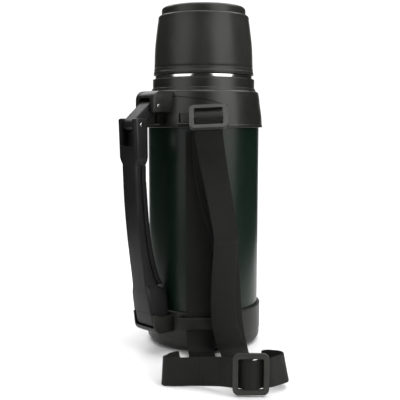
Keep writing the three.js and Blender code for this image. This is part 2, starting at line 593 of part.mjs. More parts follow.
add('strap_front_run', ribbon([
  [41, 175.4, 18.2, 0, 0, 1],
  [35, 168, 16.6, 0, 0, 1],
  [30, 149, 14.2, 0.35, 0, 1],
  [31, 134, 10.2, 0.9, 0, 0.55],
  [32.5, 118, 5, 1, 0, 0.1],
  [33.5, 102, 4.1, 1, 0, 0],
  [32.6, 86, 4.4, 1, 0.1, 0],
  [29.6, 78, 9.6, 0.97, 0.1, 0],
  [25, 75.6, 21, 0.96, -0.12, 0],
  [21.2, 74.4, 36, 0.94, -0.28, 0],
  [19.6, 74, 54, 0.92, -0.36, 0],
  [20, 76, 84, 0.9, -0.4, 0],
  [21.9, 82.2, 118, 0.9, -0.4, 0],
  [22, 84, 124, 0.9, -0.4, 0],
  [21.4, 83, 131, 0.9, -0.4, 0],
  [13, 76, 178, 0.92, -0.3, 0],
  [8, 77.5, 205, 0.98, -0.12, 0],
  ...throughUpper,
  [4.4, 65.9, 249.4, 1, 0, 0.05],
  [4.4, 63.6, 247, 1, 0, 0.05],
  [4.1, 61.9, 242, 1, 0, 0.04],
  [3, 61.75, 235, 1, 0, 0],
  [2.4, 62.3, 226, 1, 0, 0],
  [2.8, 62.8, 200, 1, 0, 0],
  [10, 64.8, 160, 0.98, -0.15, 0],
  [20, 65, 124, 0.95, -0.32, 0],
  [24, 66.5, 90, 0.93, -0.36, 0],
  [26, 68, 54, 0.93, -0.34, 0],
  [27.6, 68.8, 34, 0.94, -0.3, 0],
  [30, 69.8, 17, 0.96, -0.2, 0],
  [32.6, 73, 5, 0.99, -0.1, 0],
  [34.6, 82, 2, 1, 0, 0],
  [37, 102, 1.5, 1, 0, 0],
  [43, 118, 3, 1, 0, 0.15],
  [49, 129, 8.8, 0.8, 0, 0.6],
  [57, 138, 14.6, 0.3, 0, 1],
  [66, 145.5, 17.4, -0.05, 0, 1],
  [72.8, 151.6, 18.6, -0.2, 0, 1],
], 4), material.webbing);

export default flask;
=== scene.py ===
# %% [markdown]
# # A vacuum flask
# This lesson dresses an engineered model of a tall steel flask. The engineered model, the frame,
# already says where every part is and how it moves. Here each part that shows gets its fine shape
# and its finish. The frame is loaded first, and everything else is placed by it.

# %% Load the frame
import json
import math

import bpy
import numpy as np
from mathutils import Matrix, Vector

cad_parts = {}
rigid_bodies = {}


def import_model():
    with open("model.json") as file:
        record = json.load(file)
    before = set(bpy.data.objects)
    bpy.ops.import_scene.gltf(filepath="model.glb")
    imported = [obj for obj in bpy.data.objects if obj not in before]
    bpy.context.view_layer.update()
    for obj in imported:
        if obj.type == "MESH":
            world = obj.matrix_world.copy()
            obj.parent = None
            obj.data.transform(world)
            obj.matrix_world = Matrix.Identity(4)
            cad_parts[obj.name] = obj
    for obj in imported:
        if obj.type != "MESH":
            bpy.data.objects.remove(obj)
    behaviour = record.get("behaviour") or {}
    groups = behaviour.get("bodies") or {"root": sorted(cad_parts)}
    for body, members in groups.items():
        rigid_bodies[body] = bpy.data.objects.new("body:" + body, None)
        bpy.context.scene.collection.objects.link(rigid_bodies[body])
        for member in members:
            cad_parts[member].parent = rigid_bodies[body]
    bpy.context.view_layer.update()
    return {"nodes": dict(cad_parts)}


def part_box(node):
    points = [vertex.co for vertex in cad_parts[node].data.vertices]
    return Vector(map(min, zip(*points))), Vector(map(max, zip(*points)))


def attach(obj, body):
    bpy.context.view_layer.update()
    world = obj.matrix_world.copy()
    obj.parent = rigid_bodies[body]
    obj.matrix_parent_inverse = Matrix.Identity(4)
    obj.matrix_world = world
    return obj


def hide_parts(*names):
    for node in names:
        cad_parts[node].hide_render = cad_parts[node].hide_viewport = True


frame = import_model()

# %% [markdown]
# Blender works in metres and the flask is designed in millimetres, so one constant converts. The
# front is the side that the shoulder strap's lug faces. A place seen from the front is given as a
# to the right, b towards the viewer and z up, and one small function turns it into the frame's axes.

# %% Units and the front view
MM = 0.001


def from_front(a, b, z):
    return Vector(((a - b) / math.sqrt(2), -(a + b) / math.sqrt(2), z)) * MM


shell_low, shell_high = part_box("outer_shell")
BODY_R = (shell_high[0] - shell_low[0]) / 2 / MM
TOTAL_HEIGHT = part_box("cup_top_disc")[1][2] / MM
print("the shell's radius is", round(BODY_R, 2), "mm and the flask is", round(TOTAL_HEIGHT, 1), "mm tall")

# %% [markdown]
# ## Camera
# The camera stands a little above mid-height, less than a metre away, and looks slightly down. A
# small vertical shift keeps the flask upright in the picture, as a shift lens does in a studio.

# %% Camera
CAMERA_SENSOR = 36.0
CAMERA_FOCAL = 64.08
CAMERA_PITCH = 8.0

bpy.ops.object.select_all(action="DESELECT")
bpy.ops.object.camera_add(
    location=from_front(-3.8, 777, 235.7),
    rotation=(math.radians(90 - CAMERA_PITCH), 0, math.radians(-45)),
)
camera = bpy.context.object
camera.name = "studio_camera"
camera.data.sensor_width = CAMERA_SENSOR
camera.data.lens = CAMERA_FOCAL
camera.data.shift_y = 0.0625
camera.data.clip_start = 0.01
bpy.context.scene.camera = camera
print("camera at", [round(v, 3) for v in camera.location])

# %% [markdown]
# ## Modelling helpers
# Most of a flask is turned: an outline swept round the axis. The outline is drawn as a person draws
# it, by extruding one vertex from point to point, and the Spin operator carries it round. Spin can
# leave a shape inside out, so doubles are merged and the normals recalculated afterwards.

# %% Helper: turned pieces
ROUND_STEPS = 128
SMALL_STEPS = 48


def select_alone(piece):
    """Makes the piece the only selected object and the active one."""
    bpy.ops.object.select_all(action="DESELECT")
    piece.select_set(True)
    bpy.context.view_layer.objects.active = piece


def arc(r, z, radius, start, end, steps=6):
    """Points of an arc in the (r, z) plane, from one angle to another in degrees."""
    angles = np.radians(np.linspace(start, end, steps + 1))
    return [(r + radius * math.cos(t), z + radius * math.sin(t)) for t in angles]


def finish_mesh(piece, name, angle=35):
    """Names the piece, shades it smooth where it is nearly flat, and leaves object mode tidy."""
    piece.name = name
    piece.data.name = name
    select_alone(piece)
    bpy.ops.object.shade_smooth_by_angle(angle=math.radians(angle))
    return piece


def start_vertex(place):
    """A mesh of one vertex at that place, selected in edit mode, with its object at the origin."""
    bpy.ops.object.select_all(action="DESELECT")
    bpy.ops.mesh.primitive_plane_add(size=MM)
    bpy.ops.object.mode_set(mode="EDIT")
    bpy.ops.mesh.select_all(action="SELECT")
    bpy.ops.mesh.merge(type="CENTER")
    bpy.ops.transform.translate(value=place)
    return bpy.context.object


def draw_outline(points):
    """Extrudes the selected vertex along the points, each a Vector in metres."""
    for here, there in zip(points, points[1:]):
        bpy.ops.mesh.extrude_vertices_move(TRANSFORM_OT_translate={"value": there - here})


def turned(name, outline, steps=ROUND_STEPS):
    """A body of revolution about the flask's axis from (r, z) points in millimetres."""
    points = [Vector((r, 0, z)) * MM for r, z in outline]
    if outline[0][0] or outline[-1][0]:
        points.append(points[0].copy())
    piece = start_vertex(points[0])
    draw_outline(points)
    bpy.ops.mesh.select_all(action="SELECT")
    bpy.ops.mesh.spin(steps=steps, angle=2 * math.pi, center=(0, 0, 0), axis=(0, 0, 1))
    bpy.ops.mesh.select_all(action="SELECT")
    bpy.ops.mesh.remove_doubles(threshold=0.01 * MM)
    bpy.ops.mesh.select_all(action="SELECT")
    bpy.ops.mesh.normals_make_consistent(inside=False)
    bpy.ops.object.mode_set(mode="OBJECT")
    return finish_mesh(piece, name)


def ring_outline(inner, outer, bottom, top, soft=0.4):
    """A ring's section with small round corners."""
    return [
        *arc(outer - soft, bottom + soft, soft, -90, 0, 3),
        *arc(outer - soft, top - soft, soft, 0, 90, 3),
        *arc(inner + soft, top - soft, soft, 90, 180, 3),
        *arc(inner + soft, bottom + soft, soft, 180, 270, 3),
    ]


# %% [markdown]
# Moulded parts also have straight sides, so there is a helper for a flat plate cut from an outline,
# one for a block, and one for joining or cutting solids with a Boolean modifier. A Bevel modifier
# rounds their edges before they are joined, because no moulding has a razor-sharp edge.

# %% Helper: plates, blocks and Booleans
def apply_modifier(piece, kind, **settings):
    """Adds a modifier with these settings and applies it."""
    select_alone(piece)
    modifier = piece.modifiers.new(kind.lower(), kind)
    for key, value in settings.items():
        setattr(modifier, key, value)
    bpy.ops.object.modifier_apply(modifier=modifier.name)
    return piece


def rounded(piece, width, segments=3, angle=30):
    return apply_modifier(piece, "BEVEL", width=width * MM, segments=segments,
                          limit_method="ANGLE", angle_limit=math.radians(angle))


def combine(piece, other, operation):
    """Joins other to piece, or cuts it away, and deletes other."""
    apply_modifier(piece, "BOOLEAN", object=other, operation=operation, solver="EXACT")
    bpy.data.objects.remove(other, do_unlink=True)
    return piece


def join(piece, *others):
    for other in others:
        combine(piece, other, "UNION")
    return piece


def cut(piece, *others):
    for other in others:
        combine(piece, other, "DIFFERENCE")
    return piece


def plate(outline, half):
    """A plate across the handle's plane, from (distance from the axis, height) points."""
    points = [Vector((-r, -half, z)) * MM for r, z in outline]
    piece = start_vertex(points[0])
    draw_outline(points)
    bpy.ops.mesh.select_all(action="SELECT")
    bpy.ops.mesh.edge_face_add()
    bpy.ops.mesh.extrude_region_move(TRANSFORM_OT_translate={"value": (0, 2 * half * MM, 0)})
    bpy.ops.mesh.select_all(action="SELECT")
    bpy.ops.mesh.normals_make_consistent(inside=False)
    bpy.ops.object.mode_set(mode="OBJECT")
    return piece


def apply_place(piece):
    select_alone(piece)
    bpy.ops.object.transform_apply(location=True, rotation=True, scale=True)
    return piece


def block(x, y, z, turn=0.0):
    """A block between (low, high) pairs in millimetres, then turned about Z by turn degrees."""
    bpy.ops.object.select_all(action="DESELECT")
    bpy.ops.mesh.primitive_cube_add(size=1)
    piece = bpy.context.object
    piece.scale = [(high - low) * MM for low, high in (x, y, z)]
    piece.location = [(high + low) / 2 * MM for low, high in (x, y, z)]
    apply_place(piece)
    piece.rotation_euler.z = math.radians(turn)
    return apply_place(piece)


FRONT_TURN = -45.0


def front_block(a, b, z):
    """A block seen from the front: a to the right, b towards the viewer, z up."""
    return block(a, (-b[1], -b[0]), z, FRONT_TURN)


def cross_rod(radius, place, half, steps=SMALL_STEPS):
    """A rod across the handle's plane at (distance from the axis, height)."""
    bpy.ops.object.select_all(action="DESELECT")
    bpy.ops.mesh.primitive_cylinder_add(
        vertices=steps, radius=radius * MM, depth=2 * half * MM,
        location=(-place[0] * MM, 0, place[1] * MM), rotation=(math.pi / 2, 0, 0),
    )
    return apply_place(bpy.context.object)


def bent_rod(points, radius):
    """A rod of that radius in millimetres along the points, used to cut fine grooves."""
    curve = bpy.data.curves.new("rod", "CURVE")
    curve.dimensions = "3D"
    curve.bevel_depth = radius * MM
    curve.bevel_resolution = 2
    curve.use_fill_caps = True
    spline = curve.splines.new("POLY")
    spline.points.add(len(points) - 1)
    for spot, point in zip(spline.points, points):
        spot.co = (*point, 1)
    rod = bpy.data.objects.new("rod", curve)
    bpy.context.scene.collection.objects.link(rod)
    select_alone(rod)
    bpy.ops.object.convert(target="MESH")
    return bpy.context.object


# %% [markdown]
# ## Finishes
# Each finish is a small node tree built on the object's own coordinates, so it stays with the piece
# in any pose. A helper makes the tree, another adds a noise pattern, and each finish then says what
# its surface does: the grain of a mould, the mottling of a lacquer, the fine lines of turned steel.

# %% Helper: node trees
def shader(name, **sockets):
    """A new material and its Principled shader, with these sockets set."""
    made = bpy.data.materials.new(name)
    made.use_nodes = True
    principled = made.node_tree.nodes["Principled BSDF"]
    for key, value in sockets.items():
        principled.inputs[key.replace("_", " ")].default_value = value
    return made, principled


def node(made, kind, inputs=None, **settings):
    """Adds a node. inputs maps a socket's name or number to a value or to another node's output."""
    added = made.node_tree.nodes.new(kind)
    for key, value in settings.items():
        setattr(added, key, value)
    for key, value in (inputs or {}).items():
        if isinstance(value, bpy.types.NodeSocket):
            made.node_tree.links.new(value, added.inputs[key])
        else:
            added.inputs[key].default_value = value
    return added


def noise(made, scale, detail=4.0, stretch=(1, 1, 1), rough=0.55):
    """The value of a noise pattern with that many features to a metre."""
    place = node(made, "ShaderNodeTexCoord").outputs["Object"]
    spread = node(made, "ShaderNodeMapping", {"Vector": place, "Scale": stretch})
    return node(made, "ShaderNodeTexNoise", {
        "Vector": spread.outputs[0], "Scale": scale, "Detail": detail, "Roughness": rough,
    }).outputs["Fac"]


def remap(made, value, low, high, start=0.3, end=0.7):
    return node(made, "ShaderNodeMapRange", {
        "Value": value, "From Min": start, "From Max": end, "To Min": low, "To Max": high,
    }).outputs[0]


def two_tone(made, value, dark, light, start=0.3, end=0.7):
    """A colour between dark and light as the value goes from start to end."""
    ramp = node(made, "ShaderNodeValToRGB", {"Fac": value})
    ramp.color_ramp.elements[0].position = start
    ramp.color_ramp.elements[1].position = end
    ramp.color_ramp.elements[0].color = (*dark, 1)
    ramp.color_ramp.elements[1].color = (*light, 1)
    return ramp.outputs["Color"]


def link(made, output, principled, socket):
    made.node_tree.links.new(output, principled.inputs[socket])


def bump(made, height, principled, distance, strength=1.0, chained=None):
    """Raises the surface by the height pattern, distance in millimetres."""
    inputs = {"Height": height, "Distance": distance * MM, "Strength": strength}
    if chained is not None:
        inputs["Normal"] = chained
    added = node(made, "ShaderNodeBump", inputs)
    link(made, added.outputs["Normal"], principled, "Normal")
    return added.outputs["Normal"]


# %% Finish: moulded plastics
def moulded(name, dark, light, roughness, grain=0.03, grain_scale=2600.0, shine=0.3):
    """A moulded plastic: a fine spark-eroded grain, a slight mottle and uneven gloss."""
    made, principled = shader(name, IOR=1.49, Specular_IOR_Level=shine)
    mottle = noise(made, 42.0, 5.0)
    link(made, two_tone(made, mottle, dark, light), principled, "Base Color")
    smear = noise(made, 90.0, 6.0, (1, 1, 0.35))
    link(made, remap(made, smear, roughness - 0.05, roughness + 0.07), principled, "Roughness")
    bump(made, noise(made, grain_scale, 2.0), principled, grain)
    return made


collar_finish = moulded("moulded_collar", (0.0120, 0.0125, 0.0107), (0.0165, 0.0170, 0.0148), 0.33,
                        shine=0.42)
cup_finish = moulded("moulded_cup", (0.0210, 0.0216, 0.0186), (0.0280, 0.0288, 0.0250), 0.34, 0.02)
handle_finish = moulded("moulded_handle", (0.0060, 0.0060, 0.0062), (0.0090, 0.0090, 0.0092), 0.40)
soft_finish = moulded("soft_touch_grip", (0.0040, 0.0040, 0.0042), (0.0070, 0.0070, 0.0072), 0.60,
                      0.06, 1500.0, 0.2)
base_finish = moulded("moulded_base", (0.0120, 0.0124, 0.0106), (0.0165, 0.0170, 0.0148), 0.40,
                      shine=0.26)
slider_finish = moulded("moulded_slider", (0.0190, 0.0190, 0.0160), (0.0270, 0.0270, 0.0230), 0.42, 0.02)
stopper_finish = moulded("moulded_stopper", (0.0060, 0.0064, 0.0060), (0.0100, 0.0105, 0.0100), 0.34)
valve_finish = moulded("moulded_valve", (0.60, 0.58, 0.52), (0.70, 0.68, 0.62), 0.38)
foam_finish = moulded("expanded_foam", (0.60, 0.57, 0.50), (0.75, 0.72, 0.66), 0.85, 0.3, 900.0)
rubber_finish = moulded("silicone_rubber", (0.0060, 0.0060, 0.0060), (0.0120, 0.0120, 0.0120), 0.66,
                        0.04, 1900.0, 0.2)
print("moulded finishes are ready")

# %% [markdown]
# The shell is steel under a dark green lacquer. Lacquer over metal shows three things: a faint
# mottle where the film is thicker, a slow ripple like orange peel that softens reflections, and a
# glossy clear surface over the colour, which is what the shader's coat is for.

# %% Finish: green lacquer and bare steel
def lacquered(name):
    made, principled = shader(name, IOR=1.5, Specular_IOR_Level=0.24, Coat_Weight=0.04,
                              Coat_Roughness=0.2)
    depth = noise(made, 160.0, 6.0)
    link(made, two_tone(made, depth, (0.0030, 0.0098, 0.0056), (0.0046, 0.0135, 0.0080)),
         principled, "Base Color")
    haze = noise(made, 60.0, 5.0, (1, 1, 0.3))
    link(made, remap(made, haze, 0.32, 0.38), principled, "Roughness")
    bump(made, noise(made, 520.0, 2.0), principled, 0.006)
    return made


def turned_steel(name, color, roughness, scratch=0.012):
    """Bare steel with fine lines round the axis, left by the lathe or the polishing wheel."""
    made, principled = shader(name, Metallic=1.0)
    lines = noise(made, 700.0, 6.0, (0.04, 0.04, 6.0))
    dull = tuple(0.86 * v for v in color)
    link(made, two_tone(made, lines, dull, color), principled, "Base Color")
    link(made, remap(made, lines, roughness - 0.04, roughness + 0.08), principled, "Roughness")
    bump(made, lines, principled, scratch)
    return made


green_finish = lacquered("green_lacquer")
polished_finish = turned_steel("polished_steel", (0.80, 0.79, 0.76), 0.13, 0.006)
brushed_finish = turned_steel("brushed_steel", (0.58, 0.58, 0.56), 0.30, 0.02)
print("lacquer and steel are ready")

# %% [markdown]
# Webbing is woven in ribs that run across it and cords that run along it. The strap is modelled
# with a map of its own length and width, and the weave is drawn in that map, so that it follows
# every fold. The ribs are raised with a bump, and the colour is painted lighter on the ribs as a
# painted highlight and darker in the valleys between them as painted shade.

# %% Finish: webbing and thread
WEB_WIDTH = 27.0
RIB_PITCH = 1.5
CORD_PITCH = 1.0
WAVE_TURN = 2 * math.pi / 20       # a Wave texture's bands are 2 pi / 20 apart at a scale of 1


def woven(name, dark, light):
    made, principled = shader(name, Roughness=0.5, Specular_IOR_Level=0.2)
    place = node(made, "ShaderNodeUVMap", uv_map="weave").outputs[0]
    ribs = node(made, "ShaderNodeTexWave", {
        "Vector": place, "Scale": WAVE_TURN / (RIB_PITCH * MM), "Distortion": 0.5,
        "Detail": 2.0, "Detail Scale": 3.0,
    }, wave_type="BANDS", bands_direction="X")
    cords = node(made, "ShaderNodeTexWave", {
        "Vector": place, "Scale": WAVE_TURN / (CORD_PITCH * MM), "Distortion": 0.8, "Detail": 2.0,
    }, wave_type="BANDS", bands_direction="Y")
    weave = node(made, "ShaderNodeMath", {0: ribs.outputs["Fac"], 1: cords.outputs["Fac"]},
                 operation="MULTIPLY").outputs[0]
    fuzz = noise(made, 5200.0, 3.0)
    # Painted light: the colour below is lighter on the ribs and cords as a painted highlight and darker in
    # the valleys as painted shade; the fuzz adds random tone, and the same pattern drives the bump.
    weave_relief_and_painted_light = node(made, "ShaderNodeMath", {0: weave, 1: fuzz}, operation="ADD").outputs[0]
    link(made, two_tone(made, weave_relief_and_painted_light, dark, light, 0.35, 1.25), principled, "Base Color")
    bump(made, weave_relief_and_painted_light, principled, 0.25, 0.8)
    return made


# The webbing's dark and light colours are painted shade in the valleys and painted highlight on the ribs.
webbing_finish = woven("ribbed_webbing", (0.0012, 0.0012, 0.0010), (0.0085, 0.0082, 0.0070))
thread_finish = moulded("sewing_thread", (0.0100, 0.0096, 0.0084), (0.0180, 0.0172, 0.0150), 0.8)


def dress(piece, finish):
    """Gives the piece this finish on all of its faces."""
    piece.data.materials.clear()
    piece.data.materials.append(finish)


def place_piece(piece, body, finish, slot, *nodes):
    """Dresses the piece, makes it ride on its body and hides the frame's nodes it stands for."""
    dress(piece, finish)
    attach(piece, body)
    if nodes:
        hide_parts(*nodes)
    print(piece.name, "has", len(piece.data.polygons), "faces")
    return piece


# %% [markdown]
# ## The shoulder strap
# The strap is one length of 27 mm webbing. It starts on its edge behind the lower slider, turns flat
# on the floor near the flask and rises in front of it. It passes the upper slider, goes round the
# lug under the collar and comes down behind itself to the floor. There it turns onto its edge again,
# passes the lower slider, doubles back to the flask and climbs through the bridge on the base to the
# collar. A flat strap is built from its route: at each step a thin rounded section is placed across
# it, and the sections are joined into a skin. Simulation would only blur it.

# %% The strap's route
WEB_THICK = 1.3
UPPER_SLIDER = (4.4, 79, 243.4)
LOWER_SLIDER = (40.6, 180, 20.3)
STRAP_A = -4.7
LEAN = math.sqrt(0.5)
PASSAGE = [(-15.5, -3.2), (-11, -3.1), (-2.4, 2.9), (2.4, 2.9), (11, -3.1), (15.5, -3.2)]
CLOSE = BODY_R + 0.5 + WEB_THICK / 2      # webbing that lies against the shell
ROUTE_STEP = 0.75

through_upper = [
    (UPPER_SLIDER[0], UPPER_SLIDER[1] + (out - along) * LEAN,
     UPPER_SLIDER[2] + (out + along) * LEAN, 1, 0, 0.05)
    for along, out in PASSAGE[:-1]
]
through_lower = [
    (LOWER_SLIDER[0] + along, LOWER_SLIDER[1] + out, LOWER_SLIDER[2], 0, 0, 1)
    for along, out in PASSAGE
]
# Each station is a, b, z and then the direction across the webbing, as a, b, z.
front_run = [
    (41, 175.4, 18.2, 0, 0, 1),
    (35, 168, 16.6, 0, 0, 1),
    (30, 149, 14.2, 0.35, 0, 1),
    (31, 134, 10.2, 0.9, 0, 0.55),
    (32.5, 118, 5, 1, 0, 0.1),
    (33.5, 102, 4.1, 1, 0, 0),
    (32.6, 86, 4.4, 1, 0.1, 0),
    (29.6, 78, 9.6, 0.97, 0.1, 0),
    (25, 75.6, 21, 0.96, -0.12, 0),
    (21.2, 74.4, 36, 0.94, -0.28, 0),
    (19.6, 74, 54, 0.92, -0.36, 0),
    (20, 76, 84, 0.9, -0.4, 0),
    (21.9, 82.2, 118, 0.9, -0.4, 0),
    (22, 84, 124, 0.9, -0.4, 0),
    (21.4, 83, 131, 0.9, -0.4, 0),
    (13, 76, 178, 0.92, -0.3, 0),
    (8, 77.5, 205, 0.98, -0.12, 0),
    *through_upper,
    (4.4, 65.9, 249.4, 1, 0, 0.05),
    (4.4, 63.6, 247, 1, 0, 0.05),
    (4.1, 61.9, 242, 1, 0, 0.04),
    (3, 61.75, 235, 1, 0, 0),
    (2.4, 62.3, 226, 1, 0, 0),
    (2.8, 62.8, 200, 1, 0, 0),
    (10, 64.8, 160, 0.98, -0.15, 0),
    (20, 65, 124, 0.95, -0.32, 0),
    (24, 66.5, 90, 0.93, -0.36, 0),
    (26, 68, 54, 0.93, -0.34, 0),
    (27.6, 68.8, 34, 0.94, -0.3, 0),
    (30, 69.8, 17, 0.96, -0.2, 0),
    (32.6, 73, 5, 0.99, -0.1, 0),
    (34.6, 82, 2, 1, 0, 0),
    (37, 102, 1.5, 1, 0, 0),
    (43, 118, 3, 1, 0, 0.15),
    (49, 129, 8.8, 0.8, 0, 0.6),
    (57, 138, 14.6, 0.3, 0, 1),
    (66, 145.5, 17.4, -0.05, 0, 1),
    (72.8, 151.6, 18.6, -0.2, 0, 1),
]
body_run = [
    (STRAP_A, CLOSE, 229, -1, 0, 0),
    (STRAP_A, CLOSE, 150, -1, 0, 0),
    (STRAP_A, CLOSE + 0.4, 116, -1, 0, 0),
    (STRAP_A, CLOSE + 2.2, 103, -1, 0, 0),
    (STRAP_A, CLOSE + 2.4, 98, -1, 0, 0),
    (STRAP_A, CLOSE + 1.6, 84, -1, 0, 0),
    (STRAP_A, CLOSE + 1.2, 62, -1, 0, 0),
    (STRAP_A, 64.2, 43.5, -1, 0, 0),
    (STRAP_A, 64.3, 28, -1, 0, 0),
    (STRAP_A + 0.6, 65.4, 15, -1, 0.1, 0),
    (-2.6, 68.4, 5.6, -0.97, 0.2, 0),
    (-1.6, 76, 2.2, -0.97, 0.2, 0),
    (-3, 96, 1.5, -1, 0, 0),
    (-10, 117, 4.6, -1, 0, 0.25),
    (-17, 130, 10.5, -0.75, 0, 0.6),
    (-27, 141, 14.1, -0.2, 0, 1),
    (-35, 148.6, 14.1, 0.06, 0, 1),
    (-37.7, 152.2, 14.1, 0.06, 0, 1),
    (-34.8, 155.4, 14.1, 0.06, 0, 1),
    (-6, 157, 14.5, 0.02, 0, 1),
    (5, 160.5, 15.8, 0, 0, 1),
    (13, 165.5, 17.6, 0, 0, 1),
    (19.5, 172, 19.4, 0, 0, 1),
    *through_lower,
    (64.5, 169.5, 19.8, -0.08, 0, 1),
    (73.4, 158, 19, -0.2, 0, 1),
]
strap_route = front_run + body_run[::-1]
print("the strap's route has", len(strap_route), "stations")


# %% [markdown]
# The route is only stations, so a smooth curve is drawn through them. A centripetal Catmull-Rom
# curve passes through every station and never loops between two that are close together.

# %% Helper: smooth curve through stations
def smooth_curve(stations, step):
    """Points and directions along a centripetal Catmull-Rom curve, about one every step mm."""
    values = np.array(stations, float)
    points = values[:, :3]
    padded = np.vstack([2 * points[0] - points[1], points, 2 * points[-1] - points[-2]])
    places, sides = [], []
    for i in range(len(points) - 1):
        p0, p1, p2, p3 = padded[i:i + 4]
        k1 = max(np.linalg.norm(p1 - p0), 1e-6) ** 0.5
        k2 = k1 + max(np.linalg.norm(p2 - p1), 1e-6) ** 0.5
        k3 = k2 + max(np.linalg.norm(p3 - p2), 1e-6) ** 0.5
        count = max(2, int(np.linalg.norm(p2 - p1) / step))
        for s in np.arange(count) / count:
            t = k1 + s * (k2 - k1)
            a1 = (k1 - t) / k1 * p0 + t / k1 * p1
            a2 = (k2 - t) / (k2 - k1) * p1 + (t - k1) / (k2 - k1) * p2
            a3 = (k3 - t) / (k3 - k2) * p2 + (t - k2) / (k3 - k2) * p3
            b1 = (k2 - t) / k2 * a1 + t / k2 * a2
            b2 = (k3 - t) / (k3 - k1) * a2 + (t - k1) / (k3 - k1) * a3
            places.append((k2 - t) / (k2 - k1) * b1 + (t - k1) / (k2 - k1) * b2)
            ease = s * s * (3 - 2 * s)
            sides.append((1 - ease) * values[i, 3:6] + ease * values[i + 1, 3:6])
    places.append(points[-1])
    sides.append(values[-1, 3:6])
    return np.array(places), np.array(sides)


def unit(rows):
    return rows / np.linalg.norm(rows, axis=1, keepdims=True)


# %% [markdown]
# The section of webbing is a flat band with rounded selvedges. Seen closely its faces are ribbed,
# so each section is a hair thicker or thinner than the last, in step with the weave. The same pass
# writes the map that the weave is drawn in: length along the strap one way, width the other.

# %% Helper: webbing from a route
SECTION = [(-1, -0.35), (-0.985, -0.8), (-0.95, -1), (-0.5, -1), (0, -1), (0.5, -1), (0.95, -1),
           (0.985, -0.8), (1, -0.35), (1, 0.35), (0.985, 0.8), (0.95, 1), (0.5, 1), (0, 1),
           (-0.5, 1), (-0.95, 1), (-0.985, 0.8), (-1, 0.35)]
RIB_HEIGHT = 0.07


def webbing(name, stations):
    """A closed ribbon of webbing along the stations. Returns the piece and its length in mm."""
    places, sides = smooth_curve(stations, ROUTE_STEP)
    along = unit(np.gradient(places, axis=0))
    across = unit(sides - (sides * along).sum(1, keepdims=True) * along)
    through = np.cross(along, across)
    travelled = np.concatenate([[0], np.cumsum(np.linalg.norm(np.diff(places, axis=0), axis=1))])
    rib = 1 + RIB_HEIGHT * np.cos(2 * math.pi * travelled / RIB_PITCH)
    verts, count = [], len(SECTION)
    for i, centre in enumerate(places):
        for u, v in SECTION:
            skin = centre + across[i] * u * WEB_WIDTH / 2 + through[i] * v * WEB_THICK / 2 * rib[i]
            verts.append(from_front(*skin))
    faces = [
        (i * count + k, i * count + (k + 1) % count, (i + 1) * count + (k + 1) % count,
         (i + 1) * count + k)
        for i in range(len(places) - 1) for k in range(count)
    ]
    faces += [tuple(range(count))[::-1], tuple((len(places) - 1) * count + k for k in range(count))]
    mesh = bpy.data.meshes.new(name)
    mesh.from_pydata(verts, [], faces)
    piece = bpy.data.objects.new(name, mesh)
    bpy.context.scene.collection.objects.link(piece)
    weave = mesh.uv_layers.new(name="weave")
    for loop in mesh.loops:
        i, k = divmod(loop.vertex_index, count)
        weave.data[loop.index].uv = (travelled[i] * MM, SECTION[k][0] * WEB_WIDTH / 2 * MM)
    select_alone(piece)
    bpy.ops.object.mode_set(mode="EDIT")
    bpy.ops.mesh.select_all(action="SELECT")
    bpy.ops.mesh.normals_make_consistent(inside=False)
    bpy.ops.object.mode_set(mode="OBJECT")
    return finish_mesh(piece, name, 60), float(travelled[-1])


strap, strap_length = webbing("shoulder_strap", strap_route)
place_piece(strap, "root", webbing_finish, "webbing", "strap_front_run", "strap_body_run")
print("the strap is", round(strap_length), "mm long")

# %% [markdown]
# Two rows of stitching cross the webbing where its end is lapped and sewn. A stitch is a small
# stretched bead, and an Array modifier repeats it across the width.

# %% Stitching
STITCH_PITCH, STITCH_MARGIN = 2.3, 1.5
STITCH_RADIUS, STITCH_STRETCH = 0.5, (0.7, 0.6, 1.7)
route_places, route_sides = smooth_curve(strap_route, ROUTE_STEP)


def stitch_row(name, target):
    """A row of stitches on the front of the webbing at the route's nearest place to target (a, b)."""
    spot = int(np.argmin(np.linalg.norm(route_places[:, :2] - np.array(target), axis=1)))
    heading = route_places[spot + 1] - route_places[spot - 1]
    across = route_sides[spot] / np.linalg.norm(route_sides[spot])
    out = np.cross(heading, across)
    out *= math.copysign(1, out[1]) / np.linalg.norm(out)
    count = int((WEB_WIDTH - 2 * STITCH_MARGIN) / STITCH_PITCH) + 1
    first = route_places[spot] + out * WEB_THICK / 2 - across * STITCH_PITCH * (count - 1) / 2
    bpy.ops.object.select_all(action="DESELECT")
    bpy.ops.mesh.primitive_uv_sphere_add(segments=10, ring_count=6, radius=STITCH_RADIUS * MM)
    row = bpy.context.object
    row.scale = STITCH_STRETCH
    apply_place(row)
    apply_modifier(row, "ARRAY", count=count, use_relative_offset=False, use_constant_offset=True,
                   constant_offset_displace=from_front(*(across * STITCH_PITCH)))
    row.location = from_front(*first)
    finish_mesh(apply_place(row), name, 60)
    return place_piece(row, "root", thread_finish, "webbing")


stitch_row("strap_stitches_left", (-5.8, 157))
stitch_row("strap_stitches_right", (-2.6, 158))

# %% [markdown]
# ## The strap's sliders
# A slider is a moulded frame with three bars, two windows and well rounded edges. It is modelled
# lying flat, as it leaves the mould: a block with round corners, two windows cut through it and a
# bevel all over. Two copies are then carried to their places on the strap.

# %% Sliders
SLIDER_WIDTH, SLIDER_HEIGHT, SLIDER_THICK, SLIDER_CORNER = 37.6, 32.0, 3.5, 5.5
RAIL, MIDDLE_BAR = 4.8, 3.2


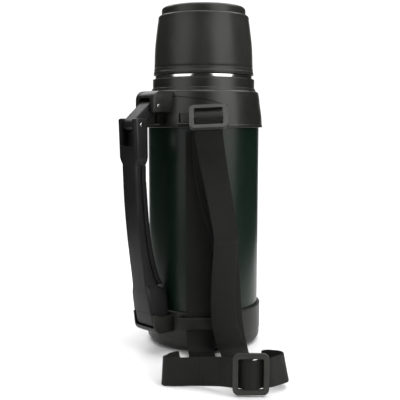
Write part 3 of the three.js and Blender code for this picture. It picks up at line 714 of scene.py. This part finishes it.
def round_plate(width, height, corner, thick, middle=0.0):
    """A flat plate with round corners, its middle at that height on Y."""
    bpy.ops.object.select_all(action="DESELECT")
    bpy.ops.mesh.primitive_plane_add(size=1)
    piece = bpy.context.object
    piece.scale = (width * MM, height * MM, 1)
    piece.location = (0, middle * MM, -thick / 2 * MM)
    apply_place(piece)
    bpy.ops.object.mode_set(mode="EDIT")
    bpy.ops.mesh.select_all(action="SELECT")
    bpy.ops.mesh.bevel(offset=corner * MM, segments=8, affect="VERTICES")
    bpy.ops.mesh.select_all(action="SELECT")
    bpy.ops.mesh.extrude_region_move(TRANSFORM_OT_translate={"value": (0, 0, thick * MM)})
    bpy.ops.mesh.select_all(action="SELECT")
    bpy.ops.mesh.normals_make_consistent(inside=False)
    bpy.ops.object.mode_set(mode="OBJECT")
    return piece


def flat_slider():
    piece = round_plate(SLIDER_WIDTH, SLIDER_HEIGHT, SLIDER_CORNER, SLIDER_THICK)
    window_height = (SLIDER_HEIGHT - 2 * RAIL - MIDDLE_BAR) / 2
    for side in (-1, 1):
        cut(piece, round_plate(SLIDER_WIDTH - 2 * RAIL, window_height, 1.2, 10,
                               side * (MIDDLE_BAR + window_height) / 2))
    return rounded(piece, 1.0, 4, 50)


def carry(piece, centre, across, along):
    """Lays the piece's X along across and its Y along along, both seen from the front."""
    x, y = (from_front(*v).normalized() for v in (across, along))
    z = x.cross(y)
    piece.matrix_world = Matrix.Translation(from_front(*centre)) @ Matrix((x, y, z)).transposed().to_4x4()
    bpy.context.view_layer.update()
    return apply_place(piece)


for name, centre, across, along in (
    ("strap_slider_upper", UPPER_SLIDER, (1, 0, 0.05), (0, -LEAN, LEAN)),
    ("strap_slider_lower", LOWER_SLIDER, (0, 0, 1), (-1, 0, 0)),
):
    slider = carry(flat_slider(), centre, across, along)
    finish_mesh(slider, "moulded_" + name)
    place_piece(slider, "root", slider_finish, "slider_plastic", name)

# %% [markdown]
# ## The steel bottle
# The green shell is a drawn tube closed in at the shoulder. Only its straight side shows, with the
# collar and the base covering its ends, but it is turned complete, with a wall, so that the part is
# a true shell from every side.

# %% Outer shell
SHOULDER_Z, SHOULDER_RISE, SHELL_WALL, NECK_R = 243.0, 24.0, 1.2, 34.0


def shoulder(radius, neck, rise):
    """A quarter ellipse from the side's radius in to the neck's."""
    return [(neck + (radius - neck) * c, SHOULDER_Z + rise * s) for c, s in arc(0, 0, 1, 0, 90, 14)]


shell = turned("green_shell", [
    (BODY_R, 8), *shoulder(BODY_R, NECK_R, SHOULDER_RISE), (NECK_R, 288),
    (NECK_R - SHELL_WALL, 288),
    *shoulder(BODY_R - SHELL_WALL, NECK_R - SHELL_WALL, SHOULDER_RISE - SHELL_WALL)[::-1],
    (BODY_R - SHELL_WALL, 8),
])
place_piece(shell, "root", green_finish, "shell_green", "outer_shell")

# %% [markdown]
# ## The base
# The base is a moulded cup pushed over the bottle's end. Its side has a fine step near the bottom
# and a rounded rim at the top. Two features are moulded on: the cradle that the handle's foot drops
# into, and the bridge that the strap passes under. They are modelled apart, rounded and joined.

# %% Base cup
BASE_R, BASE_TOP = 62.5, 43.0
base = turned("moulded_base", [
    (0, 2.6), (51.3, 2.6), (51.3, 0.8), (54.5, 0.8), *arc(BASE_R - 8.5, 8.8, 8, -80, 0, 12),
    (BASE_R - 0.5, 14.4), (BASE_R, 15.0), *arc(BASE_R - 1.4, BASE_TOP - 1.4, 1.4, 0, 90, 6),
    *arc(60.3, BASE_TOP - 0.6, 0.6, 90, 180, 3), (59.7, 6), (0, 6),
])
CRADLE_HALF, CRADLE_OUTER, CRADLE_TOP = 16.6, 88.4, 44.0
cradle = plate([
    (58, 22), (75, 22), *arc(76.6, 32.2, 10.2, -90, -16, 7), (CRADLE_OUTER, CRADLE_TOP),
    (85, CRADLE_TOP), (77, 40.4), (62, 40), (58, 39),
], CRADLE_HALF)
rounded(cradle, 1.3, 4)
cradle_pocket = plate([
    (63.2, 28), (66, 25.2), (77.6, 25.2), (82.6, 27), (84.6, 29.2), (95, 29.2), (95, 60), (63.2, 60),
], 14.4)
cut(cradle, rounded(cradle_pocket, 0.8, 3))
BRIDGE_HALF = 21.0
bridge = front_block((STRAP_A - BRIDGE_HALF, STRAP_A + BRIDGE_HALF), (56, 68.6), (27, 39.5))
rounded(bridge, 1.4, 4)
cut(bridge, front_block((STRAP_A - BRIDGE_HALF + 3.6, STRAP_A + BRIDGE_HALF - 3.6), (50, 65.9), (20, 50)))
bottle_space = turned("bottle_space", [(0, 6), (59.7, 6), (59.7, 60), (0, 60)])
cut(join(base, cradle, bridge), bottle_space)
finish_mesh(base, "moulded_base", 30)
place_piece(base, "root", base_finish, "collar_plastic", "base_cup")

# %% Base pad
pad = turned("ribbed_base_pad", [
    (0, 0), *[(r + dr, z) for r in range(14, 47, 8) for dr, z in ((0, 0), (0.5, 0.6), (2, 0.6), (2.5, 0))],
    *arc(50.4, 0.6, 0.6, -90, 0, 3), (51, 2.3), (0, 2.3),
])
place_piece(pad, "root", rubber_finish, "seal_rubber", "base_pad")

# %% [markdown]
# ## The collar
# The collar covers the bottle's shoulder. It is turned first, then gets three moulded features: the
# hood that carries the handle's link, the dark pocket under the hood, and the lug for the strap,
# which is a window with the collar's lower edge left as a bar. A shallow line sweeps from the hood
# round to the right; it is cut with a thin bent rod that follows the surface.

# %% Collar body
COLLAR_R, COLLAR_BOTTOM, COLLAR_TOP = 62.8, 233.0, 283.4
COLLAR_LEAN = [
    (62.7, 238), (62.4, 243), (62.05, 246.5), (61.5, 250), (61.05, 253), (60.55, 256), (60.2, 259),
    (59.9, 262), (59.5, 265),
]
collar = turned("moulded_collar", [
    (59.7, COLLAR_BOTTOM), *arc(COLLAR_R - 0.2, COLLAR_BOTTOM + 0.6, 0.6, -90, 0, 3),
    (COLLAR_R + 0.4, COLLAR_BOTTOM + 2.6), (COLLAR_R, COLLAR_BOTTOM + 3.2), *COLLAR_LEAN,
    *arc(55.6, 267.4, 3.4, 0, 82, 7), (55.1, 273.4), *arc(55.2, 274.3, 0.9, 230, 180, 3),
    *arc(53.5, COLLAR_TOP - 0.8, 0.8, 0, 90, 3),
    (46.9, COLLAR_TOP), (46.9, 280.6), (51.8, 280.6), (51.8, 269), (55.6, 266), (57, 261),
    (57.6, 256), (58.9, 250), (59.7, 243),
])

# %% Hood, pocket and lug
HOOD_HALF, HOOD_FRONT, SLOT_HALF = 14.0, 83.5, 8.2
hood = plate([
    (59.6, 248.3), (HOOD_FRONT, 248.3), *arc(HOOD_FRONT - 9.5, 259.9, 9.5, 0, 85, 12), (64, 269.4),
    (54.5, 269.6), (58, 258),
], HOOD_HALF)
rounded(hood, 0.9, 3, 40)
hood_slot = plate([(64.5, 240), (90, 240), (90, 261), (78, 263), (68, 262.4), (64.5, 257)], SLOT_HALF)
rounded(hood_slot, 2.6, 5, 50)
cut(hood, hood_slot)
LUG_A, LUG_HALF = -2.0, 23.0
lug_bar = front_block((LUG_A - LUG_HALF - 2, LUG_A + LUG_HALF + 2), (56, 65.2), (COLLAR_BOTTOM, 237.6))
rounded(lug_bar, 1.1, 4)
join(collar, hood, lug_bar)
lug_window = front_block((LUG_A - LUG_HALF, LUG_A + LUG_HALF), (50, 75), (237.6, 247.4))
lug_slot = front_block((LUG_A - LUG_HALF + 2, LUG_A + LUG_HALF - 2), (50, 62.9), (232, 238.6))
pocket = block((-70, -50), (-9.5, 9.5), (237.5, 247.8))
collar_bore = turned("collar_bore", [(0, 200), (59.7, 200), (59.7, 243), (0, 243)])
UPPER_PIN, LOWER_PIN, PIN_R = (77.0, 254.5), (99.5, 236.0), 1.8
cut(collar, collar_bore, rounded(lug_window, 1.2, 3), lug_slot, rounded(pocket, 1.2, 3),
    cross_rod(PIN_R + 0.3, UPPER_PIN, 20))
join(collar, turned("inner_wall", ring_outline(59.7, 60.4, 235, 249.5, 0.2)))
print("the collar has its hood, pocket and lug")


# %% Styling line
def collar_radius(z):
    """The collar's outer radius at a height."""
    radii, heights = zip(*COLLAR_LEAN)
    return float(np.interp(z, heights, radii))


LINE_START, LINE_END = 192.0, 248.0       # directions round the axis, in degrees
LINE_HIGH, LINE_DROP = 264.0, 9.4
LINE_STEPS, LINE_R = 48, 0.75


def line_point(share):
    angle = math.radians(LINE_START + (LINE_END - LINE_START) * share)
    z = LINE_HIGH - LINE_DROP * share ** 1.9
    radius = collar_radius(z)
    return Vector((radius * math.cos(angle), radius * math.sin(angle), z)) * MM


cut(collar, bent_rod([line_point(i / LINE_STEPS) for i in range(LINE_STEPS + 1)], LINE_R))
finish_mesh(collar, "moulded_collar", 30)
place_piece(collar, "root", collar_finish, "collar_plastic", "collar")

# %% [markdown]
# ## The neck
# Between collar and cup sits a narrow polished ring. Above it, hidden while the cup is on, stands
# the threaded sleeve that the cup screws onto.

# %% Trim ring and sleeve
trim = turned("polished_trim_ring", ring_outline(47.2, 51.9, 283.7, 287.0, 0.5))
place_piece(trim, "root", polished_finish, "steel", "trim_ring")


def ridges(radius, depth, heights):
    """The side of a threaded wall, with a rounded ridge at each height."""
    return [
        (radius + depth * (0.5 - 0.5 * math.cos(t)), z + 1.1 * (t - math.pi) / math.pi)
        for z in heights for t in np.linspace(0, 2 * math.pi, 9)
    ]


sleeve = turned("threaded_sleeve", [
    (36.2, 272), (46, 272), *ridges(46, 0.25, (289.5, 293.5, 297.5)), *arc(45.3, 299.3, 0.7, 0, 90, 3),
    *arc(39.7, 299.3, 0.7, 90, 180, 3), (39, 276.5), (36.2, 276.5),
])
place_piece(sleeve, "root", stopper_finish, "liner_plastic", "neck_sleeve")

# %% [markdown]
# ## The cup
# The cup's side is nearly straight at the bottom and leans in towards the top. It has a small lip
# at its mouth, a groove just above the lip, and a separate disc that closes the top.

# %% Cup shell, liner and disc
CUP_WALL = 1.8
CUP_LEAN = [
    (52.35, 298), (52.2, 302), (52.0, 308), (51.65, 315), (51.1, 321), (50.4, 327), (49.6, 333),
    (48.65, 340), (47.85, 345),
]
cup = turned("cup_shell_fine", [
    (50.6, 287.3), (52.2, 287.3), *arc(52.5, 288.1, 0.8, -80, 0, 4), (53.3, 289.8),
    *arc(52.7, 290.2, 0.6, 0, 60, 3), (52.8, 291), (52.75, 294.2), (52.15, 294.7), (52.15, 295.2),
    (52.5, 295.8), *CUP_LEAN, *arc(45.4, 346.4, 2.5, 0, 90, 6), (0, 348.9), (0, 347.1), (45, 347.1),
    *[(r - CUP_WALL, z) for r, z in CUP_LEAN[:-1]][::-1],
])
place_piece(cup, "cup", cup_finish, "cup_plastic", "cup_shell")

DISC_R = 44.3
top_disc = turned("cup_disc_fine", [
    (DISC_R - 2, 349.2), (DISC_R, 349.2), *arc(DISC_R - 3.4, TOTAL_HEIGHT - 3.4, 3.4, 0, 90, 10),
    (38, TOTAL_HEIGHT), (37.4, TOTAL_HEIGHT - 0.25), (0, TOTAL_HEIGHT - 0.25),
    (0, TOTAL_HEIGHT - 2), (DISC_R - 3.4, TOTAL_HEIGHT - 2), (DISC_R - 2, TOTAL_HEIGHT - 3.6),
])
place_piece(top_disc, "cup", cup_finish, "cup_plastic", "cup_top_disc")

LINER_LEAN = CUP_LEAN[1:-1]
cup_liner = turned("cup_liner_fine", [
    *ridges(46.8, -0.2, (291, 295, 299))[::-1], (46.6, 288.3), (50.2, 288.3),
    *[(r - 2.1, z) for r, z in LINER_LEAN], (44.6, 346.8), (0, 346.8), (0, 345.6), (43.8, 345.6),
    *[(r - 3.3, z) for r, z in LINER_LEAN][::-1], (49.1, 300.1), (46.8, 300.1),
])
place_piece(cup_liner, "cup", stopper_finish, "liner_plastic", "cup_liner")

# %% [markdown]
# ## The stopper
# The stopper shows when the cup is off: a fluted cap with a push button in its middle. Its body is
# turned, and its flutes are cut by a ring of upright rods joined into a single tool.

# %% Stopper cap, plug and button
stopper_cap = turned("stopper_cap_fine", [
    (7.5, 296), (36, 296), (36, 279), *ridges(38.4, 0.25, (282, 286, 290)), (38.4, 294),
    *arc(37.2, 301.8, 1.2, 0, 90, 5), (34, 303), (33, 302.4), (15, 302.4), (14, 303),
    (12.4, 303), (12.4, 297.5), (7.5, 297.5),
])
FLUTES, FLUTE_R, FLUTE_LENGTH = 40, 1.1, 9.0
FLUTES_OUT, FLUTES_UP = 39.1, 300.0       # where the rods stand, from the axis and the floor
for turn in range(FLUTES):
    bpy.ops.object.select_all(action="DESELECT")
    bpy.ops.mesh.primitive_cylinder_add(vertices=12, radius=FLUTE_R * MM, depth=FLUTE_LENGTH * MM)
    flute = bpy.context.object
    flute.name = f"flute_{turn}"
    angle = 2 * math.pi * turn / FLUTES
    flute.location = Vector((FLUTES_OUT * math.cos(angle), FLUTES_OUT * math.sin(angle), FLUTES_UP)) * MM
    apply_place(flute)
bpy.ops.object.select_pattern(pattern="flute_*", extend=False)
bpy.ops.object.join()
cut(stopper_cap, bpy.context.object)
finish_mesh(stopper_cap, "stopper_cap_fine", 30)
place_piece(stopper_cap, "stopper", stopper_finish, "liner_plastic", "stopper_cap")

plug = turned("stopper_plug_fine", [
    (7, 256), *arc(27.7, 257, 1, -90, 0, 3), (28.7, 290.2), (35.5, 290.2), (35.5, 295.7), (26, 295.7),
    (26, 259), (9.5, 259), (9.5, 295.7), (7, 295.7),
])
place_piece(plug, "stopper", stopper_finish, "liner_plastic", "stopper_body")

button = turned("push_button_fine", [
    (9.8, 301.8), (12, 301.8), *arc(10.9, 304.9, 1.1, 0, 90, 5), (8, 305.7), (4, 305.4), (0, 305.3),
    (0, 303.8), (9.8, 303.8),
], 64)
place_piece(button, "button", collar_finish, "collar_plastic", "pour_button")

liner = turned("bottle_liner_fine", [
    (0, 14), (46, 14), *arc(46, 22, 8, -85, 0, 8),
    *[(r, z - 4) for r, z in shoulder(54, 32.4, 21)], (32.4, 288.3), (34, 288.3), (34, 289.3),
    (31.4, 289.3), *[(r, z - 4) for r, z in shoulder(53, 31.4, 20)][::-1],
    *arc(46, 22, 7, 0, -85, 8), (46, 15), (0, 15),
], 96)
place_piece(liner, "root", brushed_finish, "steel_brushed", "inner_liner")

# %% [markdown]
# ## Link and pins
# The link is a short flat arm with round ends. It hangs from a pin in the hood and carries the
# handle on a second pin. Each pin ends in a small domed head.

# %% Link and pins
LINK_THICK, HEAD_HALF = 12.4, 14.0
LINK_DEGREES = math.degrees(math.atan2(UPPER_PIN[1] - LOWER_PIN[1], LOWER_PIN[0] - UPPER_PIN[0]))
link_arm = plate([
    *arc(*UPPER_PIN, LINK_THICK / 2, 90 - LINK_DEGREES, 270 - LINK_DEGREES, 14),
    *arc(*LOWER_PIN, LINK_THICK / 2, 270 - LINK_DEGREES, 450 - LINK_DEGREES, 14),
], 7.75)
rounded(link_arm, 1.1, 4, 40)
cut(link_arm, cross_rod(PIN_R + 0.3, UPPER_PIN, 20), cross_rod(PIN_R + 0.3, LOWER_PIN, 20))
finish_mesh(link_arm, "link_arm_fine", 30)
place_piece(link_arm, "link", handle_finish, "handle_plastic", "link_arm")

for name, place, half, body in (
    ("link_pin_upper", UPPER_PIN, HOOD_HALF + 0.25, "root"),
    ("link_pin_lower", LOWER_PIN, HEAD_HALF + 0.25, "link"),
):
    pin = rounded(cross_rod(PIN_R, place, half), 0.5, 4, 60)
    finish_mesh(pin, name + "_fine", 30)
    place_piece(pin, body, polished_finish, "steel", name)

# %% [markdown]
# ## The handle
# The handle changes width and depth along its length, so it is lofted. A rounded rectangle is made
# from a plane with bevelled corners, then extruded upwards station by station, and each new section
# is resized and slid to its place. The soft insert on the finger side is lofted the same way.

# %% Helper: loft a bar
GRIP_LINE = [(182, 90.4, 104.4), (162, 89, 103.6), (133, 86, 101.2), (105, 81.6, 98), (79, 73, 94.6)]
GRIP_HALF, FOOT_HALF = 10.5, 13.5
GRIP_SPLIT = 6.4


def lofted(stations, corner=3.0):
    """A bar through (z, inner, outer, half) stations with rounded corners."""
    z, inner, outer, half = stations[0]
    bpy.ops.object.select_all(action="DESELECT")
    bpy.ops.mesh.primitive_plane_add(size=1)
    piece = bpy.context.object
    piece.scale = ((outer - inner) * MM, 2 * half * MM, 1)
    piece.location = (-(outer + inner) / 2 * MM, 0, z * MM)
    apply_place(piece)
    bpy.ops.object.mode_set(mode="EDIT")
    bpy.ops.mesh.select_all(action="SELECT")
    bpy.ops.mesh.bevel(offset=corner * MM, segments=6, affect="VERTICES")
    bpy.ops.mesh.select_all(action="SELECT")
    for low, high in zip(stations, stations[1:]):
        bpy.ops.mesh.extrude_region_move(
            TRANSFORM_OT_translate={"value": (0, 0, (high[0] - low[0]) * MM)})
        middle = (-(low[2] + low[1]) / 2 * MM, 0, high[0] * MM)
        bpy.ops.transform.resize(
            value=((high[2] - high[1]) / (low[2] - low[1]), high[3] / low[3], 1),
            center_override=middle)
        slide = (low[2] + low[1] - high[2] - high[1]) / 2 * MM
        bpy.ops.transform.translate(value=(slide, 0, 0))
    bpy.ops.mesh.select_all(action="SELECT")
    bpy.ops.mesh.remove_doubles(threshold=0.001 * MM)
    bpy.ops.mesh.select_all(action="SELECT")
    bpy.ops.mesh.normals_make_consistent(inside=False)
    bpy.ops.object.mode_set(mode="OBJECT")
    return piece


def grip_curve(count):
    """The grip's line as (z, inner, outer), smooth from the bottom station to the top one."""
    line = np.array(GRIP_LINE[::-1])
    fit = [np.polyfit(line[:, 0], line[:, k], 3) for k in (1, 2)]
    return [(z, float(np.polyval(fit[0], z)), float(np.polyval(fit[1], z)))
            for z in np.linspace(line[0, 0], line[-1, 0], count)]


# %% Handle frame
grip_points = grip_curve(26)
frame_stations = [
    (26.8, 69.5, 77.5, 11), (27.6, 68, 80.2, 12.2), (29.5, 66.5, 83, 13), (31, 66.3, 85, 13.4),
    (35, 65.6, 86.6, FOOT_HALF), (44, 65, 88.2, FOOT_HALF), (45.5, 64.8, 90, FOOT_HALF),
    (58, 65.4, 91.8, FOOT_HALF), (64.5, 66.6, 92.9, FOOT_HALF - 0.6), (68.5, 69.4, 93.3, 12),
    (71.8, 75.8, 93.7, GRIP_HALF + 0.4),
    *[(z, inner + GRIP_SPLIT + 0.3, outer, GRIP_HALF) for z, inner, outer in grip_points],
    (195.8, 97.1, 104.9, GRIP_HALF), (196.2, 90.8, 104.9, GRIP_HALF), (197.5, 90.5, 105, GRIP_HALF + 0.4),
    (200.5, 90.4, 105.3, HEAD_HALF - 1.2), (204, 90.4, 105.6, HEAD_HALF),
    (222, 90.4, 106.2, HEAD_HALF), (240.4, 90.4, 106.8, HEAD_HALF), (241.5, 90.8, 106.4, HEAD_HALF - 0.4),
    (242, 91.6, 105.6, HEAD_HALF - 1.2),
]
handle = lofted(frame_stations, 1.6)
clevis = block((-120, -80), (-SLOT_HALF, SLOT_HALF), (215, 260))
rounded(clevis, 1.2, 4)
cut(handle, clevis, cross_rod(PIN_R + 0.3, LOWER_PIN, 20))

# A fine groove follows the outer edge of each side and turns inwards above the foot.
SEAM_INSET, SEAM_R, SEAM_TOP = 1.5, 0.6, 155.0
SEAM_TURN = [(76, 2.4), (74, 4.0), (73.2, 6.0)]
outer_line = [(z, outer) for z, inner, outer in grip_points]
seam = [(z, outer - SEAM_INSET) for z, outer in outer_line if z < SEAM_TOP][::-1]
seam += [(z, outer_line[0][1] - inset) for z, inset in SEAM_TURN]
for side in (-1, 1):
    cut(handle, bent_rod([Vector((-r, side * GRIP_HALF, z)) * MM for z, r in seam], SEAM_R))

# %% [markdown]
# Two screws hold the insert, driven from the finger side. Each has a countersunk place in the insert
# and a short hole in the frame, and a cross recess in its head.

# %% Screws and insert
SCREW_PLACES = {"handle_screw_upper": (90.2, 178), "handle_screw_lower": (77.4, 92)}


def facing_fingers(piece, place):
    """Turns a piece made upright about the axis so that its +Z points away from the flask."""
    piece.matrix_world = (Matrix.Translation((-place[0] * MM, 0, place[1] * MM))
                          @ Matrix.Rotation(-math.pi / 2, 4, "Y"))
    bpy.context.view_layer.update()
    return apply_place(piece)


grip = lofted([
    (73.4, 69.6, 75.9, GRIP_HALF), (74.2, 69.6, 76.2, GRIP_HALF),
    *[(z, inner, inner + GRIP_SPLIT, GRIP_HALF) for z, inner, outer in grip_points],
    (193.5, 90.4, 96.8, GRIP_HALF), (195.9, 90.4, 96.8, GRIP_HALF),
], 1.8)
SCREW_HOLE = [(0, -6), (3.4, -6), (3.4, 4.3), (1.95, 4.3), (1.95, 11), (0, 11)]
SCREW = [(0, 2), (2.4, 2), (3, 2.5), (3, 4), (1.6, 4), (1.6, 10.5), (0, 10.5)]
for name, place in SCREW_PLACES.items():
    for target in (handle, grip):
        cut(target, facing_fingers(turned("screw_hole", SCREW_HOLE, 32), place))
    screw = turned(name + "_fine", SCREW, 32)
    for turn in (0, 90):
        cut(screw, block((-1.8, 1.8), (-0.35, 0.35), (1, 3), turn))
    finish_mesh(facing_fingers(screw, place), name + "_fine", 30)
    place_piece(screw, "handle", polished_finish, "steel", name)
finish_mesh(handle, "handle_frame_fine", 30)
place_piece(handle, "handle", handle_finish, "handle_plastic", "handle_frame")
finish_mesh(grip, "handle_grip_fine", 30)
place_piece(grip, "handle", soft_finish, "handle_soft", "handle_grip")

# %% [markdown]
# ## Hidden parts
# The pieces inside keep the frame's own shapes, which are right as they are. They still get a real
# finish each, because they show when the flask is opened.

# %% Finishes for the frame's own parts
for finish, names in {
    brushed_finish: ("shell_bottom_plate",),
    polished_finish: ("vacuum_seal_cap", "button_spring"),
    rubber_finish: ("neck_seal", "cup_gasket", "stopper_gasket", "valve_seal"),
    foam_finish: ("stopper_foam",),
    valve_finish: ("valve_stem", "valve_disc"),
}.items():
    for name in names:
        dress(frame["nodes"][name], finish)
print("the hidden parts are dressed")

# %% [markdown]
# ## Studio
# Dark glossy things are lit by what they reflect. The studio is dark in front of the flask and white
# behind it, and two tall soft boxes stand left and right of the camera. They draw the two long
# highlights down the flask, with dark between them. The floor is white paper that ends just in front
# of the strap, so that it isn't mirrored in the flask, and a light behind the flask whitens it.

# %% Floor and backdrop
FLOOR_FRONT, FLOOR_BACK, FLOOR_WIDTH = 330, -640, 820
bpy.ops.object.select_all(action="DESELECT")
bpy.ops.mesh.primitive_plane_add(size=1)
floor = bpy.context.object
floor.name = "studio_floor"
floor.scale = (FLOOR_WIDTH * MM, (FLOOR_FRONT - FLOOR_BACK) * MM, 1)
floor.rotation_euler.z = math.radians(FRONT_TURN)
floor.location = from_front(0, (FLOOR_FRONT + FLOOR_BACK) / 2, 0)
apply_place(floor)
paper, paper_shader = shader("white_paper", Roughness=0.9)
link(paper, two_tone(paper, noise(paper, 3.0, 3.0), (0.94, 0.94, 0.94), (0.97, 0.97, 0.97)),
     paper_shader, "Base Color")
dress(floor, paper)

# The world is white only in a cone behind the flask, as seen from the front.
world = bpy.data.worlds.new("studio_world")
bpy.context.scene.world = world
world.use_nodes = True
facing = node(world, "ShaderNodeVectorMath", {
    0: node(world, "ShaderNodeTexCoord").outputs["Generated"], 1: -from_front(0, 1000, 0),
}, operation="DOT_PRODUCT")
WORLD_DARK, WORLD_WHITE, CONE_EDGE = 0.02, 1.15, (0.90, 0.94)
glow = two_tone(world, facing.outputs["Value"], (WORLD_DARK,) * 3, (WORLD_WHITE,) * 3, *CONE_EDGE)
world.node_tree.links.new(glow, world.node_tree.nodes["Background"].inputs["Color"])


# %% Lights
def soft_light(name, place, target, size, radiance):
    """A rectangular light of (width, height) metres that faces the target, both seen from the front."""
    here, there = from_front(*place), from_front(*target)
    bpy.ops.object.select_all(action="DESELECT")
    bpy.ops.object.light_add(type="AREA", location=here)
    light = bpy.context.object
    light.name = name
    light.data.shape = "RECTANGLE"
    light.data.size, light.data.size_y = size
    light.data.energy = radiance * math.pi * size[0] * size[1]
    light.rotation_euler = (there - here).to_track_quat("-Z", "Y").to_euler()


soft_light("left_box", (-850, 700, 640), (0, 0, 300), (0.95, 1.3), 1.7)
soft_light("right_box", (780, 775, 640), (0, 0, 300), (1.0, 1.3), 3.0)
soft_light("floor_light", (0, -560, 1300), (0, -560, 0), (1.6, 2.3), 3.5)
bpy.context.scene.view_settings.view_transform = "Standard"
print("three lights are set")
